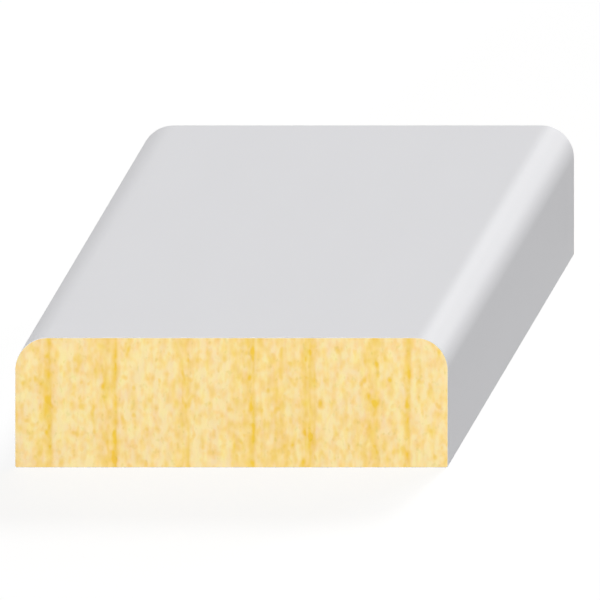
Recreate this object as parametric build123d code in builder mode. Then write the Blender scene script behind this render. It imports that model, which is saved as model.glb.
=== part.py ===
"""Door stop moulding: a cut length of flat wooden stock, square at the back and rounded on both face edges.

The section lies in the XZ plane and runs along Y, the way the grain goes. The origin is the middle of the
back, the face that goes against the door frame, and +Z points out of the moulded face. Lengths are in
millimetres.
"""

import os

from build123d import *

# Driving sizes
width = 31.75  # across the face, one and a quarter inches
thickness = 9.525  # from the back to the face, three eighths of an inch
edge_radius = 2.4  # round on each long edge of the face
length = 27.0  # along the grain, end to end

# The moulding: its section, extruded both ways from the middle of the length
with BuildPart() as door_stop_moulding:
    with BuildSketch(Plane.XZ) as section:
        Rectangle(width, thickness, align=(Align.CENTER, Align.MIN))
        face_corners = section.vertices().group_by(Axis.Y)[-1]
        fillet(face_corners, radius=edge_radius)
    extrude(amount=length / 2, both=True)
door_stop_moulding.part.label = "door_stop_moulding"

os.makedirs("parts", exist_ok=True)
export_step(door_stop_moulding.part, "parts/door_stop_moulding.step")
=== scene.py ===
"""Door stop moulding: the finish of a short primed length with bare sawn ends, and the stage it lies on.

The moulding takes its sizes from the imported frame. Its long faces are primed, and its ends show pine end
grain. The growth rings run along the whole length, so both ends show the same ones.
"""

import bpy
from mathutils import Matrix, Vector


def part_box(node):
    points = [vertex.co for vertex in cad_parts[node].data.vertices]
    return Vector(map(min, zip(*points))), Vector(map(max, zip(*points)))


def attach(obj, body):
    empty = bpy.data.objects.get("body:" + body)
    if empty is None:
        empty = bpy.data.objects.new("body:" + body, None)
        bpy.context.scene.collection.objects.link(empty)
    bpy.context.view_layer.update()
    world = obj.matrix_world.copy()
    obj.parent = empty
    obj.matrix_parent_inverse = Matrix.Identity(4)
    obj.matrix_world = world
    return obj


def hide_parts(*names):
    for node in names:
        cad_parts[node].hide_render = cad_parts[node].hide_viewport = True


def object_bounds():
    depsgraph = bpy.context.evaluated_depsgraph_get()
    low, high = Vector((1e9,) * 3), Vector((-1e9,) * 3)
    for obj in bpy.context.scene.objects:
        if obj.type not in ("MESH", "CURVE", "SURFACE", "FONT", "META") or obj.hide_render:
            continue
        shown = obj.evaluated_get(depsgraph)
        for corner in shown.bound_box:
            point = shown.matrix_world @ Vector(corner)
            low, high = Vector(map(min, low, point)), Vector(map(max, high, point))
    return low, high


bl_info = {
    "name": "Door Stop Moulding",
    "version": (1, 0, 0),
    "blender": (4, 5, 0),
    "location": "3D View > Sidebar > Door Stop",
    "description": "Finishes a primed length of door stop moulding and sets its stage",
    "category": "Add Mesh",
}

import bpy
import numpy as np
from bpy.props import FloatProperty, FloatVectorProperty, PointerProperty
from mathutils import Color, Matrix, Vector, noise

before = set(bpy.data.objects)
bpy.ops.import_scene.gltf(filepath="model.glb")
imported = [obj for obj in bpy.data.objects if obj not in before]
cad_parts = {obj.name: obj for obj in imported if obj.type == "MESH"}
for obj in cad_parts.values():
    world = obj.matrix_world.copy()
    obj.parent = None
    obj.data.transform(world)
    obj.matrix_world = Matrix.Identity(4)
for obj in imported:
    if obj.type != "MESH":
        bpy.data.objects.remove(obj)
CAD_LOW, CAD_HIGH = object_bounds()

NODE = "door_stop_moulding"
BODY = "root"
LATEWOOD_LAYER = "latewood"
PRIMER, PINE = 0, 1
WHITE = (1, 1, 1, 1)
MM = 0.001
FLAT_TOLERANCE = 0.001 * MM

# Decimals that the sidebar shows of a length in metres
LENGTH_DECIMALS = 6

# Steps of the moulding's mesh
FLAT_STEPS = 248
ROUND_STEPS = 30
HEIGHT_STEPS = 60
ARRIS_STEPS = 3
LENGTH_STEPS = 12

# Growth rings across the width, from left to right: where a ring's dark edge lies from the middle, how far
# its latewood fades in before that edge and fades out after it, all in millimetres, and how dark it gets
RINGS = (
    (-13.31, 1.4, 0.10, 0.95),
    (-9.09, 1.6, 0.25, 0.55),
    (-8.48, 0.6, 0.12, 0.97),
    (-3.60, 0.8, 0.30, 0.62),
    (-3.14, 0.9, 0.12, 0.72),
    (0.30, 1.0, 0.50, 0.38),
    (0.90, 0.6, 0.50, 0.44),
    (1.62, 0.9, 0.15, 0.88),
    (2.15, 0.4, 0.40, 0.46),
    (2.70, 0.5, 0.40, 0.44),
    (3.26, 0.5, 0.40, 0.36),
    (3.64, 0.4, 0.40, 0.64),
    (4.56, 0.6, 0.60, 0.26),
    (5.45, 0.7, 0.30, 0.90),
    (5.75, 0.5, 0.30, 0.92),
    (6.06, 0.5, 0.20, 0.70),
    (10.64, 1.8, 0.30, 0.68),
    (13.02, 0.7, 0.14, 0.95),
)
RING_FADE_POWER = 1.3

# Layout of the map of the moulding's finish: the margin at its sides, its middle, where each sawn
# end starts, and where the long faces start and stop
MAP_MARGIN = 0.02
MAP_MIDDLE = 0.5
MAP_NEAR_END = 0.02
MAP_FAR_END = 0.33
MAP_LONG_FACES = (0.64, 0.98)

# Tones of the end grain at which the ramp from cream to gold reaches straw and honey
STRAW_TONE = 0.35
HONEY_TONE = 0.65

# The middle value of a noise, and how many layers of ever finer noise each kind of blot has
NOISE_MIDDLE = 0.5
CLOUD_DETAIL = 2.0
GRAIN_DETAIL = 3.0
FIBRE_DETAIL = 1.2
DASH_DETAIL = 1.0

# Share of the camera's reach at which its view starts
CLIP_SHARE = 0.1


# Settings

def paint(red, green, blue):
    """A colour in the usual screen values, 0 to 255, as linear light."""
    return Color((red / 255, green / 255, blue / 255)).from_srgb_to_scene_linear()[:]


def face_round():
    """Radius of the rounded face edges, from where the flat of the CAD face ends."""
    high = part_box(NODE)[1]
    corners = [v.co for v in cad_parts[NODE].data.vertices]
    return high.x - max(abs(c.x) for c in corners if c.z > high.z - FLAT_TOLERANCE)


def distance(name, description, default):
    """A distance, in metres."""
    return FloatProperty(
        name=name, description=description, default=default, min=0,
        precision=LENGTH_DECIMALS, unit="LENGTH",
    )


def blot(name, description, *millimetres):
    """Size of a noise's blots across the width, along the length and up the thickness."""
    return FloatVectorProperty(
        name=name, description=description, default=[size * MM for size in millimetres],
        precision=LENGTH_DECIMALS, subtype="XYZ_LENGTH", unit="LENGTH",
    )


def colour(name, description, default):
    """A colour, in linear light."""
    return FloatVectorProperty(
        name=name, description=description, default=default, min=0, max=1, subtype="COLOR"
    )


def share(name, description, default):
    """A share or a weight."""
    return FloatProperty(name=name, description=description, default=default, min=0, subtype="FACTOR")


def limits(name, description, low, high):
    """The values of a noise at which something starts and is full."""
    return FloatVectorProperty(name=name, description=description, default=(low, high), size=2)


def light(name, description, default):
    """A direction towards a lamp, as long as the lamp is strong."""
    return FloatVectorProperty(name=name, description=description, default=default, subtype="XYZ")


def spread(name, description, degrees):
    """The angle that a distant lamp fills."""
    return FloatProperty(
        name=name, description=description, default=np.radians(degrees), min=0,
        subtype="ANGLE", unit="ROTATION",
    )


class MouldingShape(bpy.types.PropertyGroup):
    """Sizes of the moulding and of its sawn ends."""

    width: distance("Width", "Across the face", CAD_HIGH.x - CAD_LOW.x)
    thickness: distance("Thickness", "From the back to the face", CAD_HIGH.z - CAD_LOW.z)
    length: distance("Length", "Along the grain", CAD_HIGH.y - CAD_LOW.y)
    face_radius: distance("Face Radius", "Round on each long edge of the face", face_round())
    back_arris: distance("Back Arris", "Slight round on each long edge of the back", 0.15 * MM)
    sawn_arris: distance("Sawn Arris", "Slight round where a long face meets a sawn end", 0.03 * MM)
    rim_fade: distance("Rim Fade", "How far in from its rim a sawn end has its full relief", 0.4 * MM)
    ring_relief: distance("Ring Relief", "How far latewood stands proud on a sawn end", 0.025 * MM)
    fibre_relief: distance("Fibre Relief", "Depth of the torn fibres on a sawn end", 0.012 * MM)
    fibre_size: blot("Fibre Size", "Size of the torn fibres", 0.3, 5, 0.6)
    ring_wobble: distance("Ring Wobble", "How far the rings stray from straight lines", 0.08 * MM)
    wobble_size: blot("Wobble Size", "Size of the rings' bends", 2, 20, 1.1)
    ring_level: share("Ring Level", "Mean darkness along a ring", 0.88)
    ring_patches: share("Ring Patches", "How much the darkness varies along a ring", 0.27)
    patch_size: blot("Patch Size", "Size of the darker dashes along a ring", 0.5, 15, 1.6)


class PrimerFinish(bpy.types.PropertyGroup):
    """Finish of the primed long faces."""

    tint: colour("Tint", "Colour of the dry primer", (0.842, 0.842, 0.866))
    mottle: share("Mottle", "Share by which the tint varies", 0.012)
    mottle_size: blot("Mottle Size", "Size of the clouds in the tint", 5, 9, 5)
    grain_size: blot("Grain Size", "Size of the grain that shows through", 0.22, 7, 0.22)
    peel_size: blot("Peel Size", "Size of the sprayed primer's peel", 0.45, 0.45, 0.45)
    relief: distance("Relief", "Height of the grain and of the peel", 0.0025 * MM)
    roughness: share("Roughness", "Roughness of the primer", 0.52)
    roughness_range: share("Roughness Range", "How far the roughness strays each way", 0.06)
    specular: share("Specular", "Level of the primer's reflection", 0.6)


class PineFinish(bpy.types.PropertyGroup):
    """Finish of the bare end grain."""

    cream: colour("Cream", "Palest earlywood", paint(255, 236, 176))
    straw: colour("Straw", "Most of the earlywood", paint(254, 225, 151))
    honey: colour("Honey", "Where a ring darkens", paint(250, 217, 122))
    gold: colour("Gold", "Darkest latewood and resin", paint(247, 207, 72))
    earlywood_tone: share("Earlywood Tone", "Tone of plain earlywood, from cream at 0 to gold at 1", 0.18)
    latewood_weight: share("Latewood Weight", "How much latewood darkens the tone", 0.69)
    fibre_size: blot("Fibre Size", "Size of the fibre flecks", 0.5, 6, 0.75)
    fibre_weight: share("Fibre Weight", "How much the fibres vary the tone", 1.45)
    fibre_in_rings: share("Fibre In Rings", "Share of the fibres' effect that is left in latewood", 0.5)
    streak_size: blot("Streak Size", "Size of the thin upright streaks", 0.34, 9, 2.4)
    streak_weight: share("Streak Weight", "How much the streaks vary the tone", 0.4)
    mottle_size: blot("Mottle Size", "Size of the mottle", 0.9, 9, 1.4)
    mottle_weight: share("Mottle Weight", "How much the mottle varies the tone", 0.6)
    resin_size: blot("Resin Size", "Size of the resin dashes", 0.65, 6, 1.0)
    resin_limits: limits("Resin Limits", "Noise at which a resin dash starts and is full", 0.64, 0.83)
    resin_weight: share("Resin Weight", "How much resin darkens the tone", 0.62)
    resin_in_rings: share("Resin In Rings", "How much nearer to a dash latewood is", 0.12)
    cast_size: blot("Cast Size", "Size of the patches of one cast", 0.5, 9, 0.9)
    cast_limits: limits("Cast Limits", "Noise at which the cast is all rosy and all lemon", 0.25, 0.75)
    rosy: colour("Rosy Cast", "Multiplies the colour of some of the fibres", (1.0, 0.945, 0.985))
    lemon: colour("Lemon Cast", "Multiplies the colour of the other fibres", (0.98, 1.0, 0.90))
    dusk_size: blot("Dusk Size", "Size of the duller patches", 0.42, 8, 1.2)
    dusk_limits: limits("Dusk Limits", "Noise at which a patch is all dull and all bright", 0.25, 0.75)
    dull: colour("Dull Cast", "Multiplies the colour of the duller patches", (0.948, 0.914, 1.0))
    bright: colour("Bright Cast", "Multiplies the colour of the brighter patches", (1.0, 1.0, 0.946))
    speck_size: blot("Speck Size", "Size of the olive specks", 0.32, 6, 0.45)
    speck_limits: limits("Speck Limits", "Noise at which a speck starts and is full", 0.62, 0.76)
    olive: colour("Olive Specks", "Multiplies the colour of the specks", (0.93, 0.945, 0.86))
    relief: distance("Relief", "Height of the finest fibres", 0.014 * MM)
    roughness: share("Roughness", "Roughness of the sawn wood", 0.8)
    roughness_range: share("Roughness Range", "How far the roughness strays each way", 0.08)
    specular: share("Specular", "Level of the sawn wood's reflection", 0.3)


class StageSettings(bpy.types.PropertyGroup):
    """The floor, the light and the view."""

    floor_size: distance("Floor Size", "Side of the square floor", 4.0)
    floor_tint: colour("Floor Tint", "Colour of the floor as it lights the moulding", (0.25, 0.25, 0.25))
    shadow_depth: share("Shadow Depth", "Share of the floor's white that a shadow can take", 0.18)
    floor_glow: share("Floor Glow", "Share of the floor's white that no shadow takes", 0.875)
    sky: share("Sky", "Strength of the even light from all round", 0.13)
    key: light("Key Light", "Towards the key lamp, as long as it is strong", (0.035, -0.37, 0.042))
    key_spread: spread("Key Spread", "Angle that the key lamp fills", 14)
    fill: light("Fill Light", "Towards the fill lamp, as long as it is strong", (-0.245, -0.46, 0.042))
    fill_spread: spread("Fill Spread", "Angle that the fill lamp fills", 9)
    back: light("Back Light", "Towards the back lamp, as long as it is strong", (0.105, 0.345, 0.42))
    back_spread: spread("Back Spread", "Angle that the back lamp fills", 15)
    rim: light("Rim Light", "Towards the low back lamp, as long as it is strong", (0.21, 0.235, 0.13))
    rim_spread: spread("Rim Spread", "Angle that the rim lamp fills", 22)
    lamp_reach: distance("Lamp Reach", "From the floor's middle to each lamp", 0.2)
    view_width: distance("View Width", "Width of the picture at the moulding", 43.99 * MM)
    far_right: distance("Far End Right", "How far right of the near end the far end is drawn", 9.25 * MM)
    far_up: distance("Far End Up", "How far above the near end the far end is drawn", 15.58 * MM)
    aim: FloatVectorProperty(
        name="Aim", description="Middle of the picture, half way along the moulding",
        default=(0.4 * MM, 0, 4.5 * MM), precision=LENGTH_DECIMALS, subtype="TRANSLATION", unit="LENGTH",
    )
    camera_reach: distance("Camera Reach", "From the aim to the camera", 0.3)


SETTINGS = {
    "door_stop_shape": MouldingShape,
    "door_stop_primer": PrimerFinish,
    "door_stop_pine": PineFinish,
    "door_stop_stage": StageSettings,
}


# The moulding's shape

def section_columns(shape, inset):
    """x, lowest z and highest z of the section's columns, drawn in from its outline by inset."""
    half = shape.width / 2
    centre_x = half - shape.face_radius
    centre_z = shape.thickness - shape.face_radius
    radius = shape.face_radius - inset
    turn = np.radians(np.linspace(0, 90, ROUND_STEPS + 1))[1:]
    flat_x = np.linspace(-centre_x, centre_x, FLAT_STEPS + 1)
    round_x = centre_x + radius * np.sin(turn)
    round_z = centre_z + radius * np.cos(turn)
    x = np.concatenate((-round_x[::-1], flat_x, round_x))
    top = np.concatenate((round_z[::-1], np.full(flat_x.size, centre_z + radius), round_z))
    arris = shape.back_arris - inset
    past = np.clip(np.abs(x) - (half - shape.back_arris), 0, arris)
    bottom = shape.back_arris - np.sqrt(arris**2 - past**2)
    return x, bottom, top


def section_grid(shape, inset):
    """x and z of a grid over the section, its rows from the back to the face, its columns left to right."""
    x, bottom, top = section_columns(shape, inset)
    rise = np.linspace(0, 1, HEIGHT_STEPS + 1)[:, None]
    z = bottom + (top - bottom) * rise
    return np.broadcast_to(x, z.shape), z


def edge_loop(grid):
    """The edge of a grid as one loop: along the back, up the right, along the face and down the left."""
    return np.concatenate((grid[0, :-1], grid[:-1, -1], grid[-1, :0:-1], grid[:0:-1, 0]))


def drift(points, size):
    """Smooth noise from -1 to 1 at each point, in blots of the given size."""
    places = (points / np.array(size)).reshape(-1, 3)
    return np.array([noise.noise(Vector(place)) for place in places]).reshape(points.shape[:-1])


def latewood(shape, points):
    """How much of the wood is latewood at each point, from 0 to 1."""
    across = (points[..., 0] + shape.ring_wobble * drift(points, shape.wobble_size)) / MM
    dark = np.zeros(across.shape)
    for edge, fade_in, fade_out, strength in RINGS:
        before = np.clip((across - edge + fade_in) / fade_in, 0, 1) ** RING_FADE_POWER
        after = np.exp(-np.clip(across - edge, 0, None) / fade_out)
        dark = np.maximum(dark, strength * before * after)
    patches = shape.ring_level + shape.ring_patches * drift(points, shape.patch_size)
    return np.clip(dark * patches, 0, 1)


def sawn_end(shape, y):
    """Points of the sawn end at y, sunk where the wood is soft but not at its rim, and its latewood."""
    x, z = section_grid(shape, shape.sawn_arris)
    points = np.stack((x, np.full(x.shape, y), z), axis=-1)
    dark = latewood(shape, points)
    torn = (1 + drift(points, shape.fibre_size)) / 2
    from_rim = np.minimum(np.minimum(z - z[0], z[-1] - z), x[:, -1:] - np.abs(x))
    sunk = shape.ring_relief * (1 - dark) + shape.fibre_relief * torn
    points[..., 1] -= np.sign(y) * sunk * np.clip(from_rim / shape.rim_fade, 0, 1)
    return points, dark


def long_loops(shape):
    """Loops of points round the long faces, from the near end's arris to the far end's.

    One more loop, as far in again as each arris is wide, keeps the shading of the long faces flat.
    """
    arris = shape.sawn_arris
    turn = np.radians(np.linspace(0, 90, ARRIS_STEPS + 1))[1:]
    near_insets = np.append(arris * (1 - np.sin(turn)), 0)
    near_places = np.append(arris * (1 - np.cos(turn)), 2 * arris) - shape.length / 2
    between = np.linspace(near_places[-1], -near_places[-1], LENGTH_STEPS + 1)[1:-1]
    insets = np.concatenate((near_insets, np.zeros(between.size), near_insets[::-1]))
    places = np.concatenate((near_places, between, -near_places[::-1]))
    loops = []
    for inset, y in zip(insets, places):
        x, z = (edge_loop(grid) for grid in section_grid(shape, inset))
        loops.append(np.stack((x, np.full(x.size, y), z), axis=-1))
    return np.array(loops)


def travelled(path):
    """The share of a path's length travelled at each of its points."""
    run = np.append(0, np.cumsum(np.linalg.norm(np.diff(path, axis=0), axis=1)))
    return run / run[-1]


def end_map(shape, points, start):
    """Where the points of a sawn end lie on the map."""
    scale = (1 - 2 * MAP_MARGIN) / shape.width
    across = MAP_MIDDLE + points[..., 0] * scale
    up = start + points[..., 2] * scale
    return np.stack((across, up), axis=-1).reshape(-1, 2)


def band_map(round_it, along):
    """Where the corners of the long faces lie on the map, unrolled from the back's left edge."""
    u = MAP_MARGIN + (1 - 2 * MAP_MARGIN) * round_it
    v = MAP_LONG_FACES[0] + (MAP_LONG_FACES[1] - MAP_LONG_FACES[0]) * along
    left, near = np.meshgrid(u[:-1], v[:-1])
    right, far = np.meshgrid(u[1:], v[1:])
    corners = ((left, near), (left, far), (right, far), (right, near))
    return np.stack([np.stack(corner, axis=-1) for corner in corners], axis=-2).reshape(-1, 4, 2)


def moulding_mesh(shape):
    """The moulding as one closed mesh: two sawn ends and the primed faces between them."""
    near, near_dark = sawn_end(shape, -shape.length / 2)
    far, far_dark = sawn_end(shape, shape.length / 2)
    loops = long_loops(shape)
    points = np.concatenate([part.reshape(-1, 3) for part in (near, far, loops)])

    grid = np.arange(near_dark.size).reshape(near_dark.shape)
    corners = (grid[:-1, :-1], grid[:-1, 1:], grid[1:, 1:], grid[1:, :-1])
    cells = np.stack(corners, axis=-1).reshape(-1, 4)
    ends = np.concatenate((cells, cells[:, ::-1] + grid.size))
    turns = 2 * grid.size + np.arange(loops[..., 0].size).reshape(loops.shape[:2])
    turns = np.concatenate((edge_loop(grid)[None], turns, edge_loop(grid + grid.size)[None]))
    here, there = turns[:-1], turns[1:]
    bands = np.stack((here, there, np.roll(there, -1, axis=1), np.roll(here, -1, axis=1)), axis=-1)
    faces = np.concatenate((ends, bands.reshape(-1, 4)))
    finish = np.full(len(faces), PRIMER, dtype=np.int32)
    finish[: len(ends)] = PINE
    dark = np.zeros(len(points), dtype=np.float32)
    dark[: 2 * grid.size] = np.concatenate((near_dark, far_dark)).ravel()

    on_map = np.concatenate((end_map(shape, near, MAP_NEAR_END), end_map(shape, far, MAP_FAR_END)))
    outline = points[np.append(turns[len(turns) // 2], turns[len(turns) // 2, 0])]
    unrolled = band_map(travelled(outline), travelled(points[turns[:, 0]]))

    mesh = bpy.data.meshes.new("primed_moulding")
    mesh.from_pydata(points.tolist(), [], faces.tolist())
    mesh.polygons.foreach_set("material_index", finish)
    mesh.polygons.foreach_set("use_smooth", np.ones(len(faces), dtype=bool))
    mesh.attributes.new(LATEWOOD_LAYER, "FLOAT", "POINT").data.foreach_set("value", dark)
    spots = np.concatenate((on_map[ends], unrolled)).astype(np.float32)
    mesh.uv_layers.new(name="OFBake").uv.foreach_set("vector", spots.ravel())
    mesh.update()
    return mesh


# Materials

def new_node(tree, kind, inputs=None, **settings):
    """A node with its settings made, and its inputs linked to sockets or set to values."""
    made = tree.nodes.new(kind)
    for name, value in settings.items():
        setattr(made, name, value)
    for name, value in (inputs or {}).items():
        if isinstance(value, bpy.types.NodeSocket):
            tree.links.new(value, made.inputs[name])
        else:
            made.inputs[name].default_value = value
    return made


def new_material(name):
    """A material with an empty tree of nodes."""
    material = bpy.data.materials.new(name)
    material.use_nodes = True
    material.node_tree.nodes.clear()
    return material


def blots(tree, size, detail=CLOUD_DETAIL):
    """Noise in the moulding's own space, in blots of the given size."""
    place = new_node(tree, "ShaderNodeTexCoord").outputs["Object"]
    scaled = new_node(tree, "ShaderNodeVectorMath", {0: place, 1: size}, operation="DIVIDE")
    inputs = {"Vector": scaled.outputs[0], "Scale": 1.0, "Detail": detail}
    return new_node(tree, "ShaderNodeTexNoise", inputs).outputs["Fac"]


def arithmetic(tree, operation, first, second):
    """The result of one sum on two values or sockets."""
    return new_node(tree, "ShaderNodeMath", {0: first, 1: second}, operation=operation).outputs[0]


def weighed(tree, value, weight):
    """A noise's distance from its middle, times a weight."""
    return arithmetic(tree, "MULTIPLY", arithmetic(tree, "SUBTRACT", value, NOISE_MIDDLE), weight)


def stretched(tree, value, old, new=(0, 1)):
    """A value moved from an old range to a new one, and kept inside it."""
    ends = {"From Min": old[0], "From Max": old[1], "To Min": new[0], "To Max": new[1]}
    return new_node(tree, "ShaderNodeMapRange", {"Value": value, **ends}).outputs[0]


def mixed(tree, factor, first, second, blend="MIX"):
    """One colour mixed with another."""
    inputs = {"Factor": factor, "A": first, "B": second}
    return new_node(tree, "ShaderNodeMix", inputs, data_type="RGBA", blend_type=blend).outputs["Result"]


def surfaced(material, finish, base, rough, height):
    """Gives the material its surface: a colour, a roughness that follows a noise, and fine relief."""
    tree = material.node_tree
    roughness = (finish.roughness - finish.roughness_range, finish.roughness + finish.roughness_range)
    relief = {"Height": height, "Distance": finish.relief, "Strength": 1.0}
    bump = new_node(tree, "ShaderNodeBump", relief)
    inputs = {
        "Base Color": base,
        "Roughness": stretched(tree, rough, (0, 1), roughness),
        "Normal": bump.outputs[0],
        "Specular IOR Level": finish.specular,
    }
    surface = new_node(tree, "ShaderNodeBsdfPrincipled", inputs)
    new_node(tree, "ShaderNodeOutputMaterial", {"Surface": surface.outputs[0]})
    return material


def primer_material(finish):
    """Smooth grey-white primer: nearly even, with the grain and the spray's peel just showing."""
    material = new_material("grey_white_primer")
    tree = material.node_tree
    grain = blots(tree, finish.grain_size, GRAIN_DETAIL)
    peel = blots(tree, finish.peel_size)
    cloud = blots(tree, finish.mottle_size)
    tint = np.array(finish.tint)
    base = mixed(tree, cloud, (*tint * (1 - finish.mottle), 1), (*tint * (1 + finish.mottle), 1))
    return surfaced(material, finish, base, peel, arithmetic(tree, "ADD", grain, peel))


def pine_tone(tree, finish, fibre):
    """Tone of the end grain, from cream at 0 to gold at 1."""
    dark = new_node(tree, "ShaderNodeAttribute", attribute_name=LATEWOOD_LAYER).outputs["Fac"]
    tones = (finish.earlywood_tone, finish.earlywood_tone + finish.latewood_weight)
    tone = stretched(tree, dark, (0, 1), tones)
    fibre_weights = (finish.fibre_weight, finish.fibre_weight * finish.fibre_in_rings)
    fibre_weight = stretched(tree, dark, (0, 1), fibre_weights)
    streak = blots(tree, finish.streak_size, DASH_DETAIL)
    mottle = blots(tree, finish.mottle_size)
    resin = blots(tree, finish.resin_size, DASH_DETAIL)
    ringed = arithmetic(tree, "ADD", resin, arithmetic(tree, "MULTIPLY", dark, finish.resin_in_rings))
    changes = (
        weighed(tree, fibre, fibre_weight),
        weighed(tree, streak, finish.streak_weight),
        weighed(tree, mottle, finish.mottle_weight),
        stretched(tree, ringed, finish.resin_limits, (0, finish.resin_weight)),
    )
    for change in changes:
        tone = arithmetic(tree, "ADD", tone, change)
    return tone


def grain_colour(tree, finish, tone):
    """Colour of the end grain at a tone, before its casts and specks."""
    ramp = new_node(tree, "ShaderNodeValToRGB", {"Fac": tone})
    stops = ramp.color_ramp.elements
    stops[0].position = 0.0
    stops[0].color = (*finish.cream, 1)
    stops[1].position = 1.0
    stops[1].color = (*finish.gold, 1)
    stops.new(STRAW_TONE).color = (*finish.straw, 1)
    stops.new(HONEY_TONE).color = (*finish.honey, 1)
    return ramp.outputs["Color"]


def pine_material(finish):
    """Bare pine end grain: straw with honey latewood, upright flecks and streaks, and gold resin dashes."""
    material = new_material("sawn_pine")
    tree = material.node_tree
    fibre = blots(tree, finish.fibre_size, FIBRE_DETAIL)
    base = grain_colour(tree, finish, pine_tone(tree, finish, fibre))
    casts = (
        (finish.cast_size, finish.cast_limits, finish.rosy, finish.lemon),
        (finish.dusk_size, finish.dusk_limits, finish.dull, finish.bright),
    )
    for size, ends, first, second in casts:
        patches = stretched(tree, blots(tree, size), ends)
        cast = mixed(tree, patches, (*first, 1), (*second, 1))
        base = mixed(tree, 1.0, base, cast, blend="MULTIPLY")
    specks = stretched(tree, blots(tree, finish.speck_size, DASH_DETAIL), finish.speck_limits)
    base = mixed(tree, specks, base, (*finish.olive, 1), blend="MULTIPLY")
    return surfaced(material, finish, base, fibre, fibre)


# The stage

def put(name, data):
    """A new object in the scene."""
    made = bpy.data.objects.new(name, data)
    bpy.context.scene.collection.objects.link(made)
    return made


def by_ray(tree, lighting, seen):
    """One shader for light on its way to a surface, another for what is seen or mirrored."""
    path = new_node(tree, "ShaderNodeLightPath").outputs
    mirrored = arithmetic(tree, "MAXIMUM", path["Is Glossy Ray"], path["Is Transmission Ray"])
    direct = arithmetic(tree, "MAXIMUM", path["Is Camera Ray"], mirrored)
    return new_node(tree, "ShaderNodeMixShader", {0: direct, 1: lighting, 2: seen}).outputs[0]


def white_floor(stage):
    """A plain floor that looks white and keeps the moulding's shadow."""
    material = new_material("white_floor")
    tree = material.node_tree
    plain = new_node(tree, "ShaderNodeBsdfDiffuse", {"Color": (*stage.floor_tint, 1)}).outputs[0]
    grey = (stage.shadow_depth, stage.shadow_depth, stage.shadow_depth, 1)
    shaded = new_node(tree, "ShaderNodeBsdfDiffuse", {"Color": grey}).outputs[0]
    glow = new_node(tree, "ShaderNodeEmission", {"Strength": stage.floor_glow}).outputs[0]
    seen = new_node(tree, "ShaderNodeAddShader", {0: shaded, 1: glow}).outputs[0]
    new_node(tree, "ShaderNodeOutputMaterial", {"Surface": by_ray(tree, plain, seen)})
    half = stage.floor_size / 2
    corners = [(-half, -half, 0), (half, -half, 0), (half, half, 0), (-half, half, 0)]
    mesh = bpy.data.meshes.new("floor")
    mesh.from_pydata(corners, [], [(0, 1, 2, 3)])
    mesh.materials.append(material)
    put("floor", mesh)


def even_sky(stage):
    """Even light from all round, seen as white."""
    world = bpy.data.worlds.new("even_sky")
    world.use_nodes = True
    tree = world.node_tree
    tree.nodes.clear()
    lighting = new_node(tree, "ShaderNodeBackground", {"Color": WHITE, "Strength": stage.sky}).outputs[0]
    white = new_node(tree, "ShaderNodeBackground", {"Color": WHITE, "Strength": 1.0}).outputs[0]
    new_node(tree, "ShaderNodeOutputWorld", {"Surface": by_ray(tree, lighting, white)})
    bpy.context.scene.world = world


def distant_lamp(name, towards, angle, reach):
    """A wide distant lamp. A white surface that faces it shows as bright as the length of towards."""
    data = bpy.data.lights.new(name, "SUN")
    data.energy = np.pi * towards.length
    data.angle = angle
    lamp = put(name, data)
    lamp.rotation_euler = towards.to_track_quat("Z", "Y").to_euler()
    lamp.location = towards.normalized() * reach


def oblique_camera(stage, length):
    """A camera that draws the near end in its true shape, with the length receding up and to the right."""
    data = bpy.data.cameras.new("camera")
    data.type = "ORTHO"
    data.ortho_scale = stage.view_width
    data.clip_start = CLIP_SHARE * stage.camera_reach
    data.clip_end = stage.camera_reach + stage.floor_size
    camera = put("camera", data)
    towards = Vector((stage.far_right / length, -1, stage.far_up / length)).normalized()
    place = Vector(stage.aim) + towards * stage.camera_reach
    slant = Matrix.Identity(4)
    for column, axis in enumerate((Vector((1, 0, 0)), Vector((0, 0, 1)), towards, place)):
        slant.col[column].xyz = axis
    camera.parent = put("oblique_view", None)
    camera.matrix_parent_inverse = slant
    bpy.context.scene.camera = camera


# Operators and panel

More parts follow.
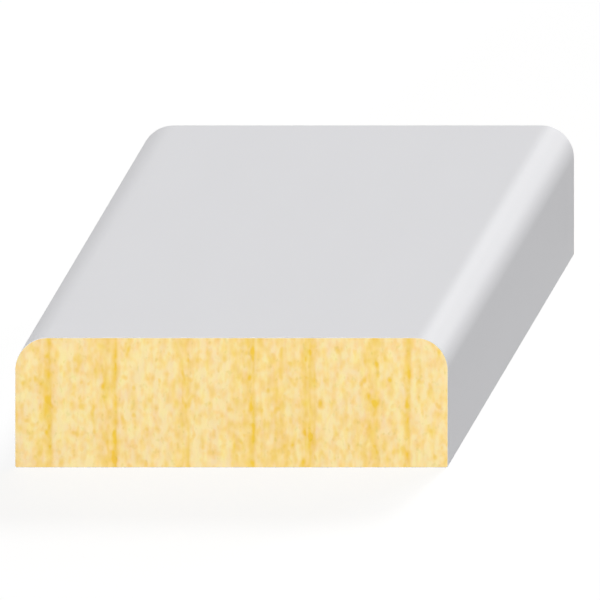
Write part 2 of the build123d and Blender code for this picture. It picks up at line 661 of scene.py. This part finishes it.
class DOORSTOP_OT_moulding(bpy.types.Operator):
    """Build the primed moulding with its sawn pine ends"""

    bl_idname = "door_stop.moulding"
    bl_label = "Primed Moulding"
    bl_options = {"REGISTER", "UNDO"}

    def execute(self, context):
        scene = context.scene
        mesh = moulding_mesh(scene.door_stop_shape)
        mesh.materials.append(primer_material(scene.door_stop_primer))
        mesh.materials.append(pine_material(scene.door_stop_pine))
        moulding = put("primed_moulding", mesh)
        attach(moulding, BODY)
        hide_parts(NODE)
        return {"FINISHED"}


class DOORSTOP_OT_stage(bpy.types.Operator):
    """Set the floor, the light and the view"""

    bl_idname = "door_stop.stage"
    bl_label = "Stage"
    bl_options = {"REGISTER", "UNDO"}

    def execute(self, context):
        stage = context.scene.door_stop_stage
        white_floor(stage)
        even_sky(stage)
        distant_lamp("key_lamp", stage.key, stage.key_spread, stage.lamp_reach)
        distant_lamp("fill_lamp", stage.fill, stage.fill_spread, stage.lamp_reach)
        distant_lamp("back_lamp", stage.back, stage.back_spread, stage.lamp_reach)
        distant_lamp("rim_lamp", stage.rim, stage.rim_spread, stage.lamp_reach)
        oblique_camera(stage, context.scene.door_stop_shape.length)
        context.scene.view_settings.view_transform = "Standard"
        return {"FINISHED"}


class DOORSTOP_PT_sidebar(bpy.types.Panel):
    """Lists the settings and the operators"""

    bl_label = "Door Stop Moulding"
    bl_space_type = "VIEW_3D"
    bl_region_type = "UI"
    bl_category = "Door Stop"

    def draw(self, context):
        for name, group in SETTINGS.items():
            box = self.layout.box()
            for prop in group.__annotations__:
                box.prop(getattr(context.scene, name), prop)
        self.layout.operator(DOORSTOP_OT_moulding.bl_idname)
        self.layout.operator(DOORSTOP_OT_stage.bl_idname)


CLASSES = (*SETTINGS.values(), DOORSTOP_OT_moulding, DOORSTOP_OT_stage, DOORSTOP_PT_sidebar)


def register():
    """Adds the classes and the scene's settings."""
    for cls in CLASSES:
        bpy.utils.register_class(cls)
    for name, group in SETTINGS.items():
        setattr(bpy.types.Scene, name, PointerProperty(type=group))


def unregister():
    """Takes the scene's settings and the classes away."""
    for name in SETTINGS:
        delattr(bpy.types.Scene, name)
    for cls in reversed(CLASSES):
        bpy.utils.unregister_class(cls)


def main():
    """Builds the moulding and its stage."""
    register()
    bpy.ops.door_stop.moulding()
    bpy.ops.door_stop.stage()


if __name__ == "__main__":
    main()
